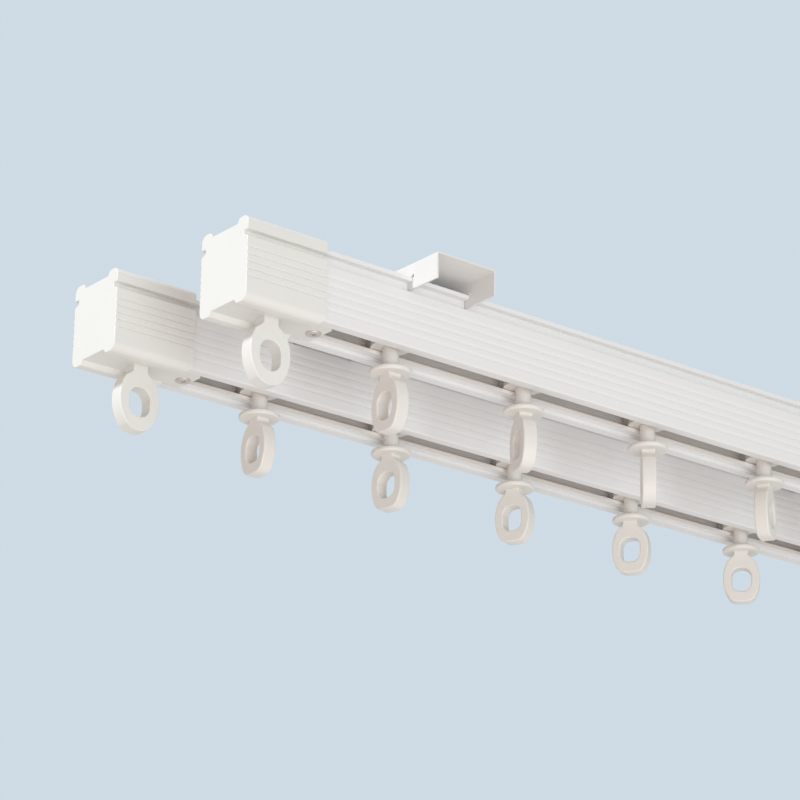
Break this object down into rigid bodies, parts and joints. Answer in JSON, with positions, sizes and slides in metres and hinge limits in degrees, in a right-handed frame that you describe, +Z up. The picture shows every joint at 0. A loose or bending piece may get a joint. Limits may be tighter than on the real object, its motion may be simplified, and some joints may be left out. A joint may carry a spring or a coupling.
{
  "type": "curtain track",
  "caption": "Ceiling curtain track with parallel slotted rails, moulded end caps, folded sheet brackets and sliding runners with turning eyes.",
  "frame": {"origin": "on the ceiling plane, midway between the two rails and midway between the two brackets", "axes": "+X along the rails, +Y across from the front rail to the back rail, +Z up to the ceiling"},
  "size_m": [0.2794, 0.0794, 0.0408],
  "materials": {
    "rail_white": "white satin paint",
    "cap_plastic": "cream white, semi-gloss",
    "runner_plastic": "warm off-white, semi-gloss",
    "bracket_white": "white paint on steel sheet",
    "screw_steel": "grey zinc"
  },
  "bodies": {
    "track": {"front_rail": "rail_white", "front_right_cap": "cap_plastic", "front_right_screw": "screw_steel", "front_left_cap": "cap_plastic", "front_left_screw": "screw_steel", "back_rail": "rail_white", "back_right_cap": "cap_plastic", "back_right_screw": "screw_steel", "back_left_cap": "cap_plastic", "back_left_screw": "screw_steel", "right_bracket": "bracket_white", "left_bracket": "bracket_white"},
    "front_slider_1": {"front_slider_1": "runner_plastic"},
    "front_eye_1": {"front_eye_1": "runner_plastic"},
    "front_slider_2": {"front_slider_2": "runner_plastic"},
    "front_eye_2": {"front_eye_2": "runner_plastic"},
    "front_slider_3": {"front_slider_3": "runner_plastic"},
    "front_eye_3": {"front_eye_3": "runner_plastic"},
    "front_slider_4": {"front_slider_4": "runner_plastic"},
    "front_eye_4": {"front_eye_4": "runner_plastic"},
    "front_slider_5": {"front_slider_5": "runner_plastic"},
    "front_eye_5": {"front_eye_5": "runner_plastic"},
    "back_slider_1": {"back_slider_1": "runner_plastic"},
    "back_eye_1": {"back_eye_1": "runner_plastic"},
    "back_slider_2": {"back_slider_2": "runner_plastic"},
    "back_eye_2": {"back_eye_2": "runner_plastic"},
    "back_slider_3": {"back_slider_3": "runner_plastic"},
    "back_eye_3": {"back_eye_3": "runner_plastic"},
    "back_slider_4": {"back_slider_4": "runner_plastic"},
    "back_eye_4": {"back_eye_4": "runner_plastic"},
    "back_slider_5": {"back_slider_5": "runner_plastic"},
    "back_eye_5": {"back_eye_5": "runner_plastic"}
  },
  "joints": [
    {"name": "front_slider_1_slide", "type": "slide", "parent": "track", "child": "front_slider_1", "axis": [1, 0, 0], "range_m": [-0.016, 0.03]},
    {"name": "front_eye_1_turn", "type": "hinge", "parent": "front_slider_1", "child": "front_eye_1", "pos_m": [-0.088, -0.0225, -0.02], "axis": [0, 0, 1], "continuous": true},
    {"name": "front_slider_2_slide", "type": "slide", "parent": "track", "child": "front_slider_2", "axis": [1, 0, 0], "range_m": [-0.03, 0.03]},
    {"name": "front_eye_2_turn", "type": "hinge", "parent": "front_slider_2", "child": "front_eye_2", "pos_m": [-0.0465, -0.0225, -0.02], "axis": [0, 0, 1], "continuous": true},
    {"name": "front_slider_3_slide", "type": "slide", "parent": "track", "child": "front_slider_3", "axis": [1, 0, 0], "range_m": [-0.03, 0.03]},
    {"name": "front_eye_3_turn", "type": "hinge", "parent": "front_slider_3", "child": "front_eye_3", "pos_m": [-0.005, -0.0225, -0.02], "axis": [0, 0, 1], "continuous": true},
    {"name": "front_slider_4_slide", "type": "slide", "parent": "track", "child": "front_slider_4", "axis": [1, 0, 0], "range_m": [-0.03, 0.03]},
    {"name": "front_eye_4_turn", "type": "hinge", "parent": "front_slider_4", "child": "front_eye_4", "pos_m": [0.0365, -0.0225, -0.02], "axis": [0, 0, 1], "continuous": true},
    {"name": "front_slider_5_slide", "type": "slide", "parent": "track", "child": "front_slider_5", "axis": [1, 0, 0], "range_m": [-0.03, 0.026]},
    {"name": "front_eye_5_turn", "type": "hinge", "parent": "front_slider_5", "child": "front_eye_5", "pos_m": [0.078, -0.0225, -0.02], "axis": [0, 0, 1], "continuous": true},
    {"name": "back_slider_1_slide", "type": "slide", "parent": "track", "child": "back_slider_1", "axis": [1, 0, 0], "range_m": [-0.016, 0.03]},
    {"name": "back_eye_1_turn", "type": "hinge", "parent": "back_slider_1", "child": "back_eye_1", "pos_m": [-0.09335, 0.0225, -0.02], "axis": [0, 0, 1], "continuous": true},
    {"name": "back_slider_2_slide", "type": "slide", "parent": "track", "child": "back_slider_2", "axis": [1, 0, 0], "range_m": [-0.03, 0.03]},
    {"name": "back_eye_2_turn", "type": "hinge", "parent": "back_slider_2", "child": "back_eye_2", "pos_m": [-0.05185, 0.0225, -0.02], "axis": [0, 0, 1], "continuous": true},
    {"name": "back_slider_3_slide", "type": "slide", "parent": "track", "child": "back_slider_3", "axis": [1, 0, 0], "range_m": [-0.03, 0.03]},
    {"name": "back_eye_3_turn", "type": "hinge", "parent": "back_slider_3", "child": "back_eye_3", "pos_m": [-0.01035, 0.0225, -0.02], "axis": [0, 0, 1], "continuous": true},
    {"name": "back_slider_4_slide", "type": "slide", "parent": "track", "child": "back_slider_4", "axis": [1, 0, 0], "range_m": [-0.03, 0.03]},
    {"name": "back_eye_4_turn", "type": "hinge", "parent": "back_slider_4", "child": "back_eye_4", "pos_m": [0.03115, 0.0225, -0.02], "axis": [0, 0, 1], "continuous": true},
    {"name": "back_slider_5_slide", "type": "slide", "parent": "track", "child": "back_slider_5", "axis": [1, 0, 0], "range_m": [-0.03, 0.026]},
    {"name": "back_eye_5_turn", "type": "hinge", "parent": "back_slider_5", "child": "back_eye_5", "pos_m": [0.07265, 0.0225, -0.02], "axis": [0, 0, 1], "continuous": true}
  ]
}
